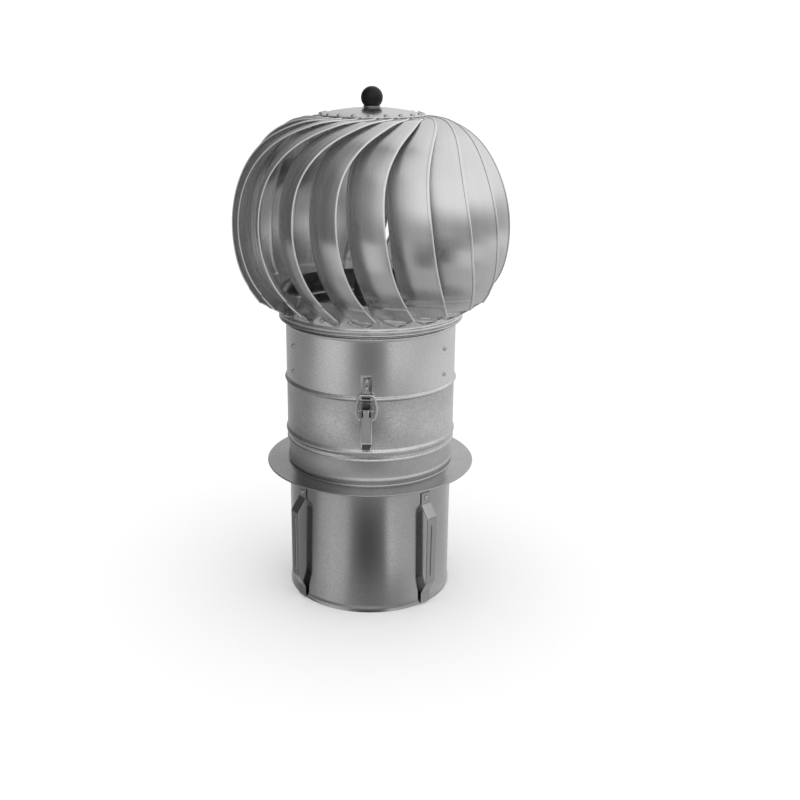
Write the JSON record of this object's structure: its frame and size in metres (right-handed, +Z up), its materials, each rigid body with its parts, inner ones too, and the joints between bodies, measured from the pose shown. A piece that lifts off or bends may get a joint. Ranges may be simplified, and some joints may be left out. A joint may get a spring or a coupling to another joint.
{
  "type": "roof turbine ventilator",
  "caption": "Wind driven roof turbine ventilator: a bladed rotor turns on a sealed bearing shaft above a flanged spigot, with draw latches that release the head.",
  "frame": {"origin": "on the rotor axis at the lower rim of the spigot", "axes": "+Z up along the rotor axis; the front latch faces -Y"},
  "size_m": [0.2394, 0.2394, 0.4552],
  "materials": {
    "blade_steel": "satin",
    "plate_steel": "semi gloss",
    "ring_steel": "satin",
    "tube_steel": "satin",
    "flange_steel": "satin",
    "latch_steel": "semi gloss",
    "spring_steel": "satin",
    "rivet_steel": "satin",
    "bearing_steel": "gloss",
    "knob_plastic": "satin"
  },
  "bodies": {
    "base": {"upper_tube": "tube_steel", "middle_tube": "tube_steel", "spigot_tube": "tube_steel", "flange": "flange_steel", "bearing_bracket": "latch_steel", "bearing_housing": "latch_steel", "bracket_rivets": "rivet_steel", "upper_bearing_outer": "bearing_steel", "lower_bearing_outer": "bearing_steel", "latch_strike_1": "latch_steel", "latch_strike_2": "latch_steel", "latch_strike_3": "latch_steel", "latch_base_1": "latch_steel", "latch_base_2": "latch_steel", "latch_base_3": "latch_steel", "latch_rivets": "rivet_steel", "latch_pins": "latch_steel", "leaf_spring_1": "spring_steel", "leaf_spring_2": "spring_steel", "leaf_spring_3": "spring_steel", "leaf_spring_4": "spring_steel", "spring_rivets": "rivet_steel"},
    "rotor": {"blade_01": "blade_steel", "blade_02": "blade_steel", "blade_03": "blade_steel", "blade_04": "blade_steel", "blade_05": "blade_steel", "blade_06": "blade_steel", "blade_07": "blade_steel", "blade_08": "blade_steel", "blade_09": "blade_steel", "blade_10": "blade_steel", "blade_11": "blade_steel", "blade_12": "blade_steel", "blade_13": "blade_steel", "blade_14": "blade_steel", "blade_15": "blade_steel", "blade_16": "blade_steel", "blade_17": "blade_steel", "blade_18": "blade_steel", "blade_19": "blade_steel", "blade_20": "blade_steel", "top_plate": "plate_steel", "rotor_ring": "ring_steel", "top_rivets": "rivet_steel", "ring_rivets": "rivet_steel", "rotor_shaft": "latch_steel", "shaft_nut": "latch_steel", "knob": "knob_plastic", "knob_washer": "latch_steel", "shaft_circlip": "latch_steel", "upper_bearing_inner": "bearing_steel", "lower_bearing_inner": "bearing_steel"},
    "lever_1": {"latch_lever_1": "latch_steel"},
    "bail_1": {"latch_bail_1": "latch_steel"},
    "lever_2": {"latch_lever_2": "latch_steel"},
    "bail_2": {"latch_bail_2": "latch_steel"},
    "lever_3": {"latch_lever_3": "latch_steel"},
    "bail_3": {"latch_bail_3": "latch_steel"}
  },
  "joints": [
    {"name": "rotor_spin", "type": "hinge", "parent": "base", "child": "rotor", "pos_m": [0, 0, 0.283], "axis": [0, 0, 1], "continuous": true},
    {"name": "latch_1_lever", "type": "hinge", "parent": "base", "child": "lever_1", "pos_m": [0, -0.0804, 0.1932], "axis": [-1, 0, 0], "range_deg": [0, 90]},
    {"name": "latch_1_bail", "type": "hinge", "parent": "lever_1", "child": "bail_1", "pos_m": [0, -0.0802, 0.1849], "axis": [-1, 0, 0], "range_deg": [-115.2, 0]},
    {"name": "latch_2_lever", "type": "hinge", "parent": "base", "child": "lever_2", "pos_m": [0.06963, 0.0402, 0.1932], "axis": [0.5, -0.866, 0], "range_deg": [0, 90]},
    {"name": "latch_2_bail", "type": "hinge", "parent": "lever_2", "child": "bail_2", "pos_m": [0.06946, 0.0401, 0.1849], "axis": [0.5, -0.866, 0], "range_deg": [-115.2, 0]},
    {"name": "latch_3_lever", "type": "hinge", "parent": "base", "child": "lever_3", "pos_m": [-0.06963, 0.0402, 0.1932], "axis": [0.5, 0.866, 0], "range_deg": [0, 90]},
    {"name": "latch_3_bail", "type": "hinge", "parent": "lever_3", "child": "bail_3", "pos_m": [-0.06946, 0.0401, 0.1849], "axis": [0.5, 0.866, 0], "range_deg": [-115.2, 0]}
  ],
  "couplings": [
    {"joint": "latch_1_bail", "follows": "latch_1_lever", "ratio": -0.75},
    {"joint": "latch_2_bail", "follows": "latch_2_lever", "ratio": -0.75},
    {"joint": "latch_3_bail", "follows": "latch_3_lever", "ratio": -0.75}
  ]
}
